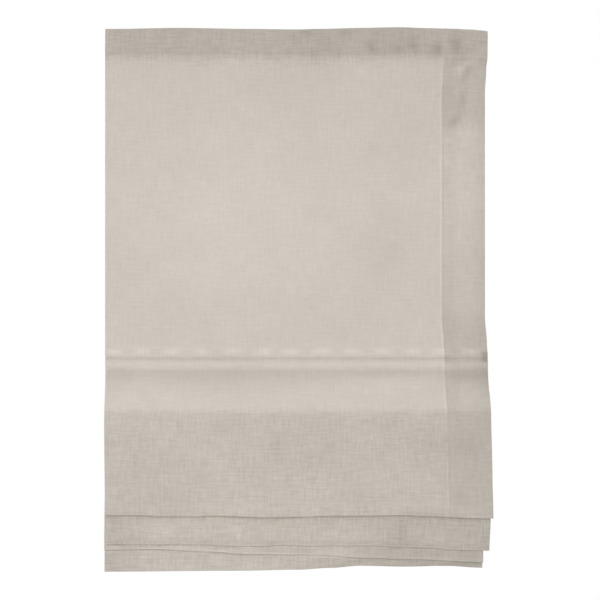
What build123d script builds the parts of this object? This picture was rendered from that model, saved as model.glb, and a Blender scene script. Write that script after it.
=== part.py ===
from build123d import *
import math
import os

# Roman blind in linen, half raised, hanging from its timber headrail.
# Millimetres, +Z up, +X to the right as seen from the room and +Y towards the window.
# The origin is midway between the two fixing screws, on the headrail's top face.

# Linen cloth
width = 600
linen_thick = 0.5
top_hem = 44
side_hem = 71  # the right side's hem
pin_hem = 6  # the left side's narrow hem
top_section = 514.5  # the cloth's top edge to the first pocket's upper seam
pocket_count = 4
pocket_pitch = 440  # upper seam to upper seam, measured along the cloth
bottom_section = 221  # the last pocket's upper seam to the bottom edge

# How the cloth hangs when it is half raised
first_lift = 84  # the first pocket's upper seam to the second's
stack_drop = 15  # each later pocket hangs this much lower
stack_forward = 10  # the second pocket stands this far in front of the first
stack_spacing = 12.5  # each later pocket stands this far behind the one before
fold_radius = 3.5  # the fold over each stacked pocket
loop_radius = 4
front_lean = 26  # degrees
back_lean = 6  # degrees
front_ease_radius = 50
back_ease_radius = 20

# Rod pockets, rods and their tips
channel = 20.4  # between a pocket's two seams
pocket_margin = 2.5  # tape beyond each seam
pocket_tape_thick = 0.6
pocket_tape_inset = 1
rod_diameter = 5
rod_inset = 6
tip_wall = 0.6
tip_length = 14
tip_end = 1.5
tip_fit = 0.05
rod_clearance = 0.3
sewn_gap = 0.1

# Weight bar in the bottom hem
bar_height = 25
bar_thick = 3
bar_inset = 8
bar_clearance = 0.3
bar_cap_wall = 0.8
bar_cap_length = 20
bar_cap_fit = 0.05
bottom_hem = 36

# Headrail and the hook and loop tapes on its front
rail_height = 32
rail_depth = 45
rail_inset = 5
rail_edge_radius = 1.5
screw_diameter = 5
screw_head_diameter = 10
screw_spacing = 400
fastener_height = 30
fastener_thick = 1.5
fastener_drop = 1  # from the rail's top edge to the tapes

# Cord rings on the pockets and screw eyes under the headrail
ring_inner_diameter = 9
ring_wire = 2
ring_inset = 75  # the cloth's side edge to the ring column
eye_inner_diameter = 9
eye_wire = 2.2
eye_shank = 2.6
eye_neck = 1.5
eye_thread = 16
eye_point = 3
eye_fit = 0.05
eye_set_back = 4  # behind the first pocket's rings
draw_eye_inset = 32  # the cloth's left edge to the eye beside the pull

# Places that follow from the sizes above
panel_y = -rail_depth / 2 - 2 * fastener_thick - linen_thick * 3 / 2
tip_radius = rod_diameter / 2 + tip_fit + tip_wall
pocket_rise = tip_radius + rod_clearance
swell_turn = 2 * math.atan(2 * pocket_rise / channel)
swell_radius = channel / (4 * math.sin(swell_turn))
pocket_length = 2 * pocket_margin + 4 * swell_radius * swell_turn
hem_radius = bar_thick / 2 + bar_cap_fit + bar_cap_wall + bar_clearance + linen_thick / 2
rail_length = width - 2 * rail_inset
ring_radius = (ring_inner_diameter + ring_wire) / 2
eye_radius = (eye_inner_diameter + eye_wire) / 2
column_xs = (ring_inset - width / 2, width / 2 - ring_inset)


def pocket_y(number):
    """Middle of the cloth at a pocket's seams; the stack starts in front and steps back."""
    if number == 0:
        return panel_y
    return panel_y - stack_forward + (number - 1) * stack_spacing


def seam_z(number):
    """Height of a pocket's upper seam."""
    if number == 0:
        return -top_section
    return -top_section - first_lift - (number - 1) * stack_drop


def pocket_moves(side):
    """A pocket's two margins and the swell over its rod, to the front (-1) or the back (1)."""
    turn = side * math.degrees(swell_turn)
    swell = [(swell_radius, turn, 1), (swell_radius, -2 * turn, 1), (swell_radius, turn, 1)]
    return [(pocket_margin, 0, 1), *swell, (pocket_margin, 0, 1)]


def loop_moves(number, layers):
    """Down from a pocket, round the hanging loop, up again and over the next pocket's fold."""
    ease_radius = front_ease_radius if number == 0 else back_ease_radius
    lean = front_lean if number == 0 else back_lean
    turn = math.radians(lean)
    forward = pocket_y(number) - pocket_y(number + 1) + 2 * fold_radius + 2 * loop_radius
    slope = (forward - 2 * ease_radius * (1 - math.cos(turn))) / math.sin(turn)
    sway_length = 2 * ease_radius * turn + slope
    sway_drop = 2 * ease_radius * math.sin(turn) + slope * math.cos(turn)
    front_top = seam_z(number) - channel - pocket_margin - sway_drop
    back_top = seam_z(number + 1) + pocket_margin
    legs = pocket_pitch - pocket_length - sway_length - math.pi * (loop_radius + fold_radius)
    front_leg = (legs + front_top - back_top) / 2
    return [
        (ease_radius, -lean, layers),
        (slope, 0, layers),
        (ease_radius, lean, layers),
        (front_leg, 0, layers),
        (loop_radius, 180, layers),
        (legs - front_leg, 0, layers),
        (fold_radius, -180, layers),
    ]


def cloth_moves(layers):
    """The whole cloth from its top edge down, as (length or radius, turn, layers) moves."""
    moves = [(top_hem, 0, 2)]
    moves += [(top_section - top_hem - pocket_margin, 0, layers)]
    for number in range(pocket_count - 1):
        moves += pocket_moves(-1) + loop_moves(number, layers)
    last_panel = bottom_section - channel - pocket_margin - bottom_hem
    hem_side = bottom_hem - hem_radius - linen_thick / 2
    moves += pocket_moves(-1)
    moves += [(last_panel, 0, layers), (hem_side, 0, 1), (hem_radius, 180, 1), (hem_side, 0, 1)]
    return moves


def draw_edge(moves, y, z, near, far):
    """Draw moves as lines and arcs beside their middle line and return the edge's two ends.

    The edge lies near to the left of the middle line, plus far for each layer."""
    heading = Vector(0, -1)
    offset = near + far * moves[0][2]
    at = Vector(y + offset, z)
    start = at
    for size, turn, layers in moves:
        step = near + far * layers - offset
        if step != 0:
            at = Line(at, at + heading.rotate(Axis.Z, 90) * step) @ 1
            offset += step
        if turn == 0:
            piece = Line(at, at + heading * size)
        else:
            piece = JernArc(at, heading, size - math.copysign(offset, turn * offset), turn)
        at = piece @ 1
        heading = piece % 1
    return start, at


def draw_strip(moves, y, z, thick):
    """Draw the closed outline of a strip of the given thickness that follows moves."""
    front_start, front_end = draw_edge(moves, y, z, -thick / 2, 0)
    back_start, back_end = draw_edge(moves, y, z, -thick / 2, thick)
    Line(front_start, back_start)
    Line(front_end, back_end)


def save(part, name):
    """Label a finished piece and write it."""
    part.label = name
    export_step(part, f"parts/{name}.step")


os.makedirs("parts", exist_ok=True)

# The linen: one folded sheet, doubled at the top and side hems, with a pocket for the bar
hem_back_y = pocket_y(pocket_count - 1) + 2 * hem_radius
hem_top_z = seam_z(pocket_count - 1) - bottom_section + bottom_hem
stretches = (
    (-width / 2, pin_hem, 2),
    (pin_hem - width / 2, width - pin_hem - side_hem, 1),
    (width / 2 - side_hem, side_hem, 2),
)
with BuildPart() as linen:
    for left, span, layers in stretches:
        with BuildSketch(Plane.YZ.offset(left)):
            with BuildLine():
                draw_strip(cloth_moves(layers), panel_y, 0, linen_thick)
            make_face()
        extrude(amount=span)
    with BuildSketch(Plane.YZ.offset(-width / 2)):
        with BuildLine():
            Polyline(
                (hem_back_y - linen_thick / 2, hem_top_z),
                (hem_back_y + linen_thick / 2, hem_top_z),
                (hem_back_y - 2 * hem_radius, hem_top_z + 2 * hem_radius + linen_thick),
                (hem_back_y - 2 * hem_radius, hem_top_z + 2 * hem_radius),
                close=True,
            )
        make_face()
    extrude(amount=width)
save(linen.part, "linen_panel")

# Timber headrail with its screw holes and the pilot holes of the eyes
ring_set_back = linen_thick / 2 + pocket_tape_thick + sewn_gap + ring_radius + ring_wire / 2
eye_y = panel_y + ring_set_back + eye_set_back
eye_xs = (*column_xs, draw_eye_inset - width / 2)
with BuildPart() as rail:
    with BuildSketch(Plane.YZ.offset(-rail_length / 2)):
        with Locations((0, -rail_height / 2)):
            Rectangle(rail_depth, rail_height)
    extrude(amount=rail_length)
    fillet(rail.edges().filter_by(Axis.X), rail_edge_radius)
    with Locations(Plane(origin=(0, 0, -rail_height), z_dir=(0, 0, -1))):
        with GridLocations(screw_spacing, 0, 2, 1):
            CounterSinkHole(screw_diameter / 2, screw_head_diameter / 2, depth=rail_height)
    for x in eye_xs:
        with Locations(Plane(origin=(x, eye_y, -rail_height), z_dir=(0, 0, -1))):
            Hole(eye_shank / 2 + eye_fit, depth=eye_thread)
save(rail.part, "headrail")

# Hook tape fixed to the headrail's front, and loop tape sewn to the top hem's back
for name, back_y in (("hook_tape", -rail_depth / 2), ("loop_tape", -rail_depth / 2 - fastener_thick)):
    with BuildPart() as fastener:
        with BuildSketch(Plane.XZ.offset(-back_y)):
            with Locations((0, -fastener_drop - fastener_height / 2)):
                Rectangle(rail_length, fastener_height)
        extrude(amount=fastener_thick)
    save(fastener.part, name)

# Screw eyes: a ring of wire on a pointed screw, turned so that a cord runs along the rail
for name, x in zip(("left", "right", "draw"), eye_xs):
    eye_z = -rail_height - eye_neck - eye_wire / 2 - eye_radius
    with BuildPart() as eye:
        with BuildSketch(Plane.XY.offset(eye_z)):
            with Locations((x, eye_y + eye_radius)):
                Circle(eye_wire / 2)
        revolve(axis=Axis((x, eye_y, eye_z), (1, 0, 0)))
        with BuildSketch(Plane.XY.offset(eye_z + eye_radius)):
            with Locations((x, eye_y)):
                Circle(eye_shank / 2)
        extrude(amount=eye_wire / 2 + eye_neck + eye_thread - eye_point)
        with Locations((x, eye_y, -rail_height + eye_thread - eye_point)):
            Cone(eye_shank / 2, 0, eye_point, align=(Align.CENTER, Align.CENTER, Align.MIN))
    save(eye.part, f"screw_eye_{name}")

# Each rod pocket: a tape behind the linen, a rod with two tips in it, and two rings on its margin
tape_length = width - 2 * pocket_tape_inset
rod_length = width - 2 * rod_inset
for number in range(pocket_count):
    inner_y = pocket_y(number) + linen_thick / 2
    top_z = seam_z(number)

    with BuildPart() as tape:
        with BuildSketch(Plane.YZ.offset(-tape_length / 2)):
            with BuildLine():
                draw_strip(
                    pocket_moves(1),
                    inner_y + pocket_tape_thick / 2,
                    top_z + pocket_margin,
                    pocket_tape_thick,
                )
            make_face()
        extrude(amount=tape_length)
    save(tape.part, f"pocket_tape_{number + 1}")

    rod_axis = Plane(origin=(0, inner_y, top_z - channel / 2), x_dir=(0, 1, 0), z_dir=(1, 0, 0))
    with BuildPart() as rod:
        with BuildSketch(rod_axis.offset(-rod_length / 2)):
            Circle(rod_diameter / 2)
        extrude(amount=rod_length)
    save(rod.part, f"rod_{number + 1}")

    for name, side in (("left", -1), ("right", 1)):
        bottom = rod_axis.offset(side * (rod_length / 2 + tip_end))
        mouth = rod_axis.offset(side * (rod_length / 2 + tip_end - tip_length))
        with BuildPart() as tip:
            with BuildSketch(bottom):
                Circle(tip_radius)
            extrude(amount=-side * tip_length)
            fillet(tip.faces().sort_by(Axis.X)[min(side, 0)].edges(), tip_wall)
            with BuildSketch(mouth):
                Circle(rod_diameter / 2 + tip_fit)
            extrude(amount=side * (tip_length - tip_end), mode=Mode.SUBTRACT)
        save(tip.part, f"rod_tip_{number + 1}_{name}")

    for name, x in zip(("left", "right"), column_xs):
        with BuildPart() as ring:
            with Locations((x, pocket_y(number) + ring_set_back, top_z + pocket_margin / 2)):
                Torus(ring_radius, ring_wire / 2)
        save(ring.part, f"cord_ring_{number + 1}_{name}")

# Flat weight bar with rounded edges, in the bottom hem, and a sleeve cap on each end
bar_y = pocket_y(pocket_count - 1) + hem_radius
bar_z = seam_z(pocket_count - 1) - bottom_section + hem_radius + linen_thick / 2
bar_length = width - 2 * bar_inset
bar_axis = Plane(
    origin=(0, bar_y, bar_z + (bar_height - bar_thick) / 2), x_dir=(0, 0, 1), z_dir=(1, 0, 0)
)
with BuildPart() as bar:
    with BuildSketch(bar_axis.offset(-bar_length / 2)):
        SlotOverall(bar_height, bar_thick)
    extrude(amount=bar_length)
save(bar.part, "weight_bar")

for name, side in (("left", -1), ("right", 1)):
    bottom = bar_axis.offset(side * (bar_length / 2 + bar_cap_wall))
    mouth = bar_axis.offset(side * (bar_length / 2 + bar_cap_wall - bar_cap_length))
    cap_grow = 2 * (bar_cap_fit + bar_cap_wall)
    with BuildPart() as cap:
        with BuildSketch(bottom):
            SlotOverall(bar_height + cap_grow, bar_thick + cap_grow)
        extrude(amount=-side * bar_cap_length)
        with BuildSketch(mouth):
            SlotOverall(bar_height + 2 * bar_cap_fit, bar_thick + 2 * bar_cap_fit)
        extrude(amount=side * (bar_cap_length - bar_cap_wall), mode=Mode.SUBTRACT)
    save(cap.part, f"bar_cap_{name}")
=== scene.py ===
import math
from collections import namedtuple

import bmesh
import bpy
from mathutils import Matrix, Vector


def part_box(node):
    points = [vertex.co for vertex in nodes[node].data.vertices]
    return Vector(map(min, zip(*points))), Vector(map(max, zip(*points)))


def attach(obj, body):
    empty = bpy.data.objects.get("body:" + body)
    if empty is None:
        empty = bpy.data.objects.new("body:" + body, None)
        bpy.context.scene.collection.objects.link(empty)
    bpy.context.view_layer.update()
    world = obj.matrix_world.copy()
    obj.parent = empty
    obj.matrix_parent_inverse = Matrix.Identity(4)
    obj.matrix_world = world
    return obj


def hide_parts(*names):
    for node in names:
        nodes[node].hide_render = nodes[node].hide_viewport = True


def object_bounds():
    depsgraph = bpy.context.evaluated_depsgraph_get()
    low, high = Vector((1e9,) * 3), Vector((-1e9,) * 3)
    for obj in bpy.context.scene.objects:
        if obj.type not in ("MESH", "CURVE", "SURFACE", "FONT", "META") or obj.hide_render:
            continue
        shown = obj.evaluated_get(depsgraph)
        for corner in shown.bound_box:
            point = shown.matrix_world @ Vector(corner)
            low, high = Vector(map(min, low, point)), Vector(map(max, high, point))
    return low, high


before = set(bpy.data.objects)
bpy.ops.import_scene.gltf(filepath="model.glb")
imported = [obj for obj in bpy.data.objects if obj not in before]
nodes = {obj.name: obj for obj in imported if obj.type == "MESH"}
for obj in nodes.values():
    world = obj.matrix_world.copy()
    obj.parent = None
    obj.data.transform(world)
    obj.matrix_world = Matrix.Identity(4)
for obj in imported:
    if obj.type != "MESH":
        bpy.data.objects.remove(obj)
cad_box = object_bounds()


# Headrail: a planed softwood batten that carries the blind.
# Its long edges are eased, and two screws go up through it into the window reveal.
timber_pale = (0.72, 0.54, 0.34, 1)
timber_dark = (0.55, 0.37, 0.20, 1)
timber_roughness = 0.6
timber_fibres = (5, 260, 260)  # marks per metre along, across and up the batten
timber_rings = (1.2, 34, 60)
fibre_detail = 4.0
rings_per_mark = 9.0
grain_share = 0.5  # of the rings and of the fibres in the grain
grain_stops = (0.25, 0.9)
timber_relief = 0.00015


def feed(tree, socket, value):
    """Link a node's output to a socket, or set the socket's own value."""
    if isinstance(value, bpy.types.NodeSocket):
        tree.links.new(value, socket)
    else:
        socket.default_value = value


def add(tree, kind, fields=(), **inputs):
    """Add a node with its fields set and its inputs fed."""
    node = tree.nodes.new(kind)
    for field, value in dict(fields).items():
        setattr(node, field, value)
    for name, value in inputs.items():
        feed(tree, node.inputs[name], value)
    return node


def calculate(tree, operation, *values):
    """The result of a sum on numbers or outputs."""
    node = add(tree, "ShaderNodeMath", {"operation": operation})
    for socket, value in zip(node.inputs, values):
        feed(tree, socket, value)
    return node.outputs[0]


def start_material(name, roughness, place="Object"):
    """A new material: itself, its tree, its shader and the coordinates that its marks follow."""
    material = bpy.data.materials.new(name)
    material.use_nodes = True
    tree = material.node_tree
    shader = tree.nodes["Principled BSDF"]
    shader.inputs["Roughness"].default_value = roughness
    return material, tree, shader, add(tree, "ShaderNodeTexCoord").outputs[place]


def marks(tree, place, per_metre, detail=2.0):
    """Cloudy marks, so many to the metre along each axis, as a share from 0 to 1."""
    mapping = add(tree, "ShaderNodeMapping", Vector=place, Scale=per_metre)
    noise = add(tree, "ShaderNodeTexNoise", Vector=mapping.outputs[0], Scale=1.0, Detail=detail)
    return noise.outputs["Fac"]


def two_tone(tree, share, first, last, stops=(0.3, 0.7)):
    """A colour that goes from the first to the last as the share rises from stop to stop."""
    ramp = add(tree, "ShaderNodeValToRGB", Fac=share)
    for stop, place, colour in zip(ramp.color_ramp.elements, stops, (first, last)):
        stop.position = place
        stop.color = colour
    return ramp.outputs["Color"]


def emboss(tree, shader, height, depth):
    """Raise the surface by a share of the depth, in metres."""
    bump = add(tree, "ShaderNodeBump", Height=height, Distance=depth, Strength=1.0)
    feed(tree, shader.inputs["Normal"], bump.outputs["Normal"])


def dress(material, *names):
    """Give CAD nodes a finish."""
    for name in names:
        for slot in nodes[name].material_slots:
            slot.material = material


timber, tree, shader, place = start_material("planed_softwood", timber_roughness)
fibres = marks(tree, place, timber_fibres, fibre_detail)
growth = calculate(tree, "MULTIPLY", marks(tree, place, timber_rings), rings_per_mark)
rings = calculate(tree, "FRACT", growth)
grain = calculate(tree, "MULTIPLY", calculate(tree, "ADD", rings, fibres), grain_share)
feed(tree, shader.inputs["Base Color"], two_tone(tree, grain, timber_pale, timber_dark, grain_stops))
emboss(tree, shader, grain, timber_relief)
dress(timber, "headrail")


# Screw eyes: brass-plated wire bent to a ring on a wood screw, turned into the headrail's underside.
# Two stand over the ring columns, and one beside the left end takes the cords to the pull.
brass_bright = (0.80, 0.61, 0.30, 1)
brass_dull = (0.62, 0.45, 0.20, 1)
brass_roughness = 0.32
brass_tarnish = (420, 420, 420)
tarnish_detail = 3.0
brass_relief = 0.00004

brass, tree, shader, place = start_material("plated_brass", brass_roughness)
shader.inputs["Metallic"].default_value = 1.0
tarnish = marks(tree, place, brass_tarnish, tarnish_detail)
feed(tree, shader.inputs["Base Color"], two_tone(tree, tarnish, brass_dull, brass_bright))
emboss(tree, shader, tarnish, brass_relief)
dress(brass, "screw_eye_left", "screw_eye_right", "screw_eye_draw")


# Hook tape stapled to the headrail's front, and loop tape sewn behind the cloth's top hem.
# Both are woven nylon: one is set with stiff hooks, the other with a soft looped pile.
nylon_pale = (0.82, 0.80, 0.76, 1)
nylon_dark = (0.66, 0.64, 0.60, 1)
nylon_roughness = 0.85
hook_rows = (900, 900, 900)
loop_tufts = (520, 520, 520)
pile_detail = 3.0
hook_relief = 0.0006
loop_relief = 0.0009

for name, tufts, relief in (("hook_tape", hook_rows, hook_relief), ("loop_tape", loop_tufts, loop_relief)):
    nylon, tree, shader, place = start_material(f"nylon_{name}", nylon_roughness)
    pile = marks(tree, place, tufts, pile_detail)
    feed(tree, shader.inputs["Base Color"], two_tone(tree, pile, nylon_dark, nylon_pale))
    emboss(tree, shader, pile, relief)
    dress(nylon, name)


# Linen: one length of plain-woven cloth, hemmed on all sides, that hangs from the loop tape.
# Four rod pockets lift it into three loops; behind the top band and hems it is double.
# Painted shade darkens its colour there and on the loops behind, with painted light and shade at seams,
# creases and lips.
cloth_thick = 0.00046
layer_pitch = 0.0005  # from one layer's middle to the next
cloth_width = 0.6
top_hem = 0.044
side_hem = 0.0675
seam_across = cloth_width - side_hem  # where the wide hem's inner edge is
pin_hem = 0.006
bottom_hem = 0.036
pocket_pitch = 0.44
pocket_margin = 0.0025
pocket_rise = 0.00345
fold_radius = 0.0035
hem_radius = 0.0029
closing_radius = 0.003
closing_turn = math.radians(40)
closing_seam = 0.004
hem_turn = 0.0008  # cloth taken by a side hem's fold
hem_crisp = 0.0006  # how near the fold the face starts to turn
Loop = namedtuple("Loop", "radius ease lean")
front_loop = Loop(0.004, 0.05, math.radians(26))
back_loop = Loop(0.004, 0.02, math.radians(6))
loops = (front_loop, back_loop, back_loop)
pocket_count = len(loops) + 1
column_pitch = 0.0058
seam_lines = (-0.0046, -0.0023, -0.0003, 0.0003, 0.0035)  # columns beside the wide hem's inner edge

tape_boxes = [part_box(f"pocket_tape_{number + 1}") for number in range(pocket_count)]
rod_boxes = [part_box(f"rod_{number + 1}") for number in range(pocket_count)]
upper_seams = [high.z - pocket_margin for low, high in tape_boxes]
lower_seams = [low.z + pocket_margin for low, high in tape_boxes]
pocket_ys = [(low.y + high.y - layer_pitch) / 2 for low, high in rod_boxes]
panel_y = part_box("loop_tape")[0].y - 1.5 * layer_pitch
channel = upper_seams[0] - lower_seams[0]
hem_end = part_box("linen_panel")[0].z

# The rows of the cloth, from the top hem's raw edge over the top and down to the bottom hem's raw edge
Row = namedtuple("Row", "stretch flat y z heading")
Move = namedtuple("Move", "stretch size turn spacing")  # a straight run, or a bend of that radius
band = 0.054  # the top's darker stretch
creased_zone = 0.095  # below the band
pucker_zone = 0.022  # above the first pocket
second_contact = 0.018  # on the second loop's front, where the first loop's lip lies
second_lip = 0.036  # below that, down to its own lip
third_contact = 0.03  # on the third loop's front, down to its lip
closing_zone = 0.01  # above the bottom hem, where its turned edge is sewn

# How far apart the rows lie: near where the cloth bends or shows a line, and far where it hangs straight
edge_spacing = 0.0003
closing_spacing = 0.001
pocket_spacing = 0.0015
contact_spacing = 0.0017
seam_spacing = 0.0018
sewn_spacing = 0.002
back_bend_spacing = 0.002
front_bend_spacing = 0.0025
hidden_bend_spacing = 0.0035
band_spacing = 0.004
creased_spacing = 0.0045
face_spacing = 0.006
straight_spacing = 0.0085
hidden_spacing = 0.012


def pocket_moves(stretch, spacing):
    """The margins and the swell of a pocket over its rod, to the front."""
    turn = 2 * math.atan(2 * pocket_rise / channel)
    radius = channel / (4 * math.sin(turn))
    bends = [Move(stretch, radius, side * turn, spacing) for side in (-1, 2, -1)]
    margin = Move(stretch, pocket_margin, 0, spacing)
    return [margin, *bends, margin]


def length_of(move):
    """How much cloth a move takes."""
    return move.size * abs(move.turn) if move.turn else move.size


def loop_moves(number, loop, bend_spacing, front_spacing, low_front=()):
    """Down from a pocket, round the hanging loop, up again and over the next pocket's fold.

    low_front has the size and spacing of the lowest runs of the loop's front, where they differ.
    """
    stretch = f"loop_{number + 1}"
    forward = pocket_ys[number] - pocket_ys[number + 1] + 2 * fold_radius + 2 * loop.radius
    slope = (forward - 2 * loop.ease * (1 - math.cos(loop.lean))) / math.sin(loop.lean)
    sway = [
        Move(stretch, loop.ease, -loop.lean, bend_spacing),
        Move(stretch, slope, 0, front_spacing),
        Move(stretch, loop.ease, loop.lean, bend_spacing),
    ]
    drop = 2 * loop.ease * math.sin(loop.lean) + slope * math.cos(loop.lean)
    front_top = lower_seams[number] - pocket_margin - drop
    back_top = upper_seams[number + 1] + pocket_margin
    taken = sum(length_of(move) for move in pocket_moves(stretch, bend_spacing) + sway)
    taken += math.pi * (loop.radius + fold_radius)
    front_leg = (pocket_pitch - taken + front_top - back_top) / 2
    return [
        *sway,
        Move(stretch, front_leg - sum(size for size, spacing in low_front), 0, front_spacing),
        *(Move(stretch, size, 0, spacing) for size, spacing in low_front),
        Move(stretch, loop.radius, math.pi, bend_spacing),
        Move(stretch, pocket_pitch - taken - front_leg, 0, hidden_spacing),
        Move(f"fold_{number + 2}", fold_radius, -math.pi, bend_spacing),
    ]


def cloth_moves():
    """The whole cloth's moves, from the top hem to the bottom hem."""
    panel = -upper_seams[0] - pocket_margin
    second_front = ((second_contact, contact_spacing), (second_lip, face_spacing))
    third_front = ((third_contact, contact_spacing),)
    moves = [
        Move("top_hem", top_hem - layer_pitch / 2, 0, face_spacing),
        Move("top_edge", layer_pitch / 2, math.pi, edge_spacing),
        Move("band", band - layer_pitch / 2, 0, band_spacing),
        Move("panel", creased_zone, 0, creased_spacing),
        Move("panel", panel - band - creased_zone - pucker_zone, 0, straight_spacing),
        Move("panel", pucker_zone, 0, seam_spacing),
    ]
    moves += pocket_moves("pocket_1", pocket_spacing)
    moves += loop_moves(0, loops[0], front_bend_spacing, face_spacing)
    moves += pocket_moves("pocket_2", hidden_bend_spacing)
    moves += loop_moves(1, loops[1], back_bend_spacing, hidden_spacing, second_front)
    moves += pocket_moves("pocket_3", hidden_bend_spacing)
    moves += loop_moves(2, loops[2], back_bend_spacing, hidden_spacing, third_front)
    moves += pocket_moves("pocket_4", hidden_bend_spacing)
    closing_shift = 2 * hem_radius - layer_pitch - 2 * closing_radius * (1 - math.cos(closing_turn))
    closing_slope = closing_shift / math.sin(closing_turn)
    hem_side = bottom_hem - hem_radius - layer_pitch / 2
    closing_rise = 2 * closing_radius * math.sin(closing_turn) + closing_slope * math.cos(closing_turn)
    bottom = lower_seams[-1] - pocket_margin - hem_end - bottom_hem
    return moves + [
        Move("bottom", bottom - closing_zone, 0, straight_spacing),
        Move("bottom", closing_zone, 0, sewn_spacing),
        Move("bottom_hem", hem_side, 0, seam_spacing),
        Move("bottom_hem", hem_radius, math.pi, pocket_spacing),
        Move("bottom_hem", hem_side - closing_rise / 2, 0, face_spacing),
        Move("bottom_hem", closing_radius, closing_turn, closing_spacing),
        Move("bottom_hem", closing_slope, 0, hidden_bend_spacing),
        Move("bottom_hem", closing_radius, -closing_turn, closing_spacing),
        Move("bottom_hem", closing_seam, 0, sewn_spacing),
    ]


def lay_rows():
    """Walk the moves and set a row at every step."""
    flat, y, z, heading = -top_hem, panel_y + layer_pitch, -top_hem, math.pi / 2
    rows = [Row("top_hem", flat, y, z, heading)]
    for move in cloth_moves():
        count = max(1, round(length_of(move) / move.spacing))
        for step in range(count):
            turn = move.turn / count
            span = 2 * move.size * math.sin(abs(turn) / 2) if turn else move.size / count
            y += span * math.cos(heading + turn / 2)
            z += span * math.sin(heading + turn / 2)
            heading += turn
            flat += length_of(move) / count
            rows.append(Row(move.stretch, flat, y, z, heading))
    return rows


def follow(points, at):
    """A smooth line through listed (place, value) points."""
    if at <= points[0][0]:
        return points[0][1]
    for (start, low), (end, high) in zip(points, points[1:]):
        if at <= end:
            share = (at - start) / (end - start)
            return low + (high - low) * share * share * (3 - 2 * share)
    return points[-1][1]


# How the cloth departs from a true fold, as lines across its width or down its height, in metres
top_wave = (
    (-0.284, 0.0024), (-0.19, 0.004), (-0.074, 0.0024), (-0.002, 0.0016), (0.036, 0.0024), (0.102, 0.004),
    (0.159, 0.005), (0.206, 0.0036), (0.2435, 0.0024), (0.272, 0.0012), (0.29, -0.0002), (0.2995, -0.0016),
)
top_wave_rows = ((-0.075, 0.0), (-0.01, 1.0))
loop_sags = {
    "loop_1": (
        (-0.29, 0.0032), (-0.245, 0.0032), (-0.21, 0.0016), (-0.16, 0.0016), (-0.126, 0.0028),
        (-0.085, 0.0014), (-0.05, 0.0), (0.005, 0.001), (0.06, 0.0024), (0.17, 0.0034), (0.204, 0.002),
        (0.237, 0.0008), (0.272, -0.0006), (0.3, -0.0014),
    ),
    "loop_2": (
        (-0.3, 0.0083), (-0.16, 0.0083), (-0.09, 0.006), (-0.05, 0.006), (-0.027, 0.0074), (0.028, 0.006),
        (0.105, 0.0066), (0.171, 0.0042), (0.204, 0.0034), (0.237, 0.0003), (0.3, -0.001),
    ),
    "loop_3": (
        (-0.3, 0.0144), (-0.225, 0.0156), (-0.137, 0.0118), (-0.08, 0.0081), (0.0, 0.0069), (0.03, 0.0062),
        (0.105, 0.0022), (0.17, 0.0001), (0.3, -0.0041),
    ),
    "bottom": (
        (-0.3, -0.0013), (-0.09, 0.0002), (0.0, 0.0018), (0.05, 0.0045), (0.1, 0.0081),
        (0.17, 0.0067), (0.235, 0.0081), (0.29, 0.0053),
    ),
}
left_edges = {
    "panel": ((-0.77, -0.2993), (-0.6, -0.3004), (-0.5, -0.3012), (0, -0.3012)),
    "loop_2": ((-0.82, -0.3), (-0.6, -0.3004)),
    "bottom": ((-0.85, -0.3025), (-0.6, -0.3)),
}
right_edges = {
    "panel": (
        (-0.77, 0.3066), (-0.7, 0.3045), (-0.6, 0.3025), (-0.54, 0.3), (-0.515, 0.2995), (-0.49, 0.298),
        (-0.45, 0.295), (-0.1, 0.295), (-0.06, 0.297), (-0.04, 0.299), (0, 0.2995),
    ),
    "loop_2": ((-0.82, 0.301), (-0.77, 0.3025), (-0.6, 0.3)),
    "bottom": ((-0.85, 0.2912), (-0.8, 0.2912), (-0.63, 0.2995)),
}
pucker_pitch = 0.0471
pucker_start = -0.242  # where the top of one pucker is
pucker_rise = 0.0016
pucker_base, pucker_swing = 0.6, 0.4  # a pucker's height is between their difference and their sum
pucker_drift = 0.4  # how unevenly the puckers are spaced
pucker_line = (
    (upper_seams[0] - 0.002, 0.0), (upper_seams[0] + 0.003, 1.0), (upper_seams[0] + 0.021, 0.0),
)
# Painted highlight on the puckers above the first pocket, and painted shade between them.
pucker_highlight = 0.1625
pucker_level = 0.4  # the height of a pucker that keeps the cloth's own tone
pucker_glow = (
    (upper_seams[0] + 0.003, 0.0), (upper_seams[0] + 0.0105, 1.0), (upper_seams[0] + 0.018, 0.0),
)
Pinch = namedtuple("Pinch", "share reach")  # how flat a loop's bottom is pressed, and how far up
pinches = {"loop_1": Pinch(0.75, 0.04), "loop_2": Pinch(0.8, 0.06), "loop_3": Pinch(0.8, 0.07)}
stack_presses = {
    "loop_1": ((-0.72, 0.0), (-0.69, 0.0)),
    "loop_2": ((-0.745, -0.0022), (-0.69, 0.0)),
    "loop_3": ((-0.815, -0.0075), (-0.76, -0.0042), (-0.69, 0.0)),
    "bottom": ((-0.8065, -0.0141), (-0.775, -0.0085), (-0.7, 0.0)),
}
flare = 0.0002
flare_reach = 0.014
dimple_rise = 0.0009
dimple_reach = 0.008
band_seam = 0.034  # below the top edge
dimple_rate = 2.6  # of the ripples across the width
panel_sway = 0.0012
sway_rows = ((-0.49, 0.25), (-0.3, 1.0), (-0.1, 0.5), (-0.05, 0.0))
sway_slant = 0.35
stack_sway = 0.0016
stack_sway_rate = 0.6
stack_sway_start = 0.2
hang_start = 0.02  # below the upper seam of the next pocket
hem_step = 0.0003
hem_step_line = ((seam_across + seam_lines[1], 0.0), (seam_across + seam_lines[3], 1.0))
Wave = namedtuple("Wave", "size rate start")
ripple_waves = (Wave(0.5, 31, 0.7), Wave(0.3, 57, 2.1), Wave(0.2, 103, 4.0))
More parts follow.
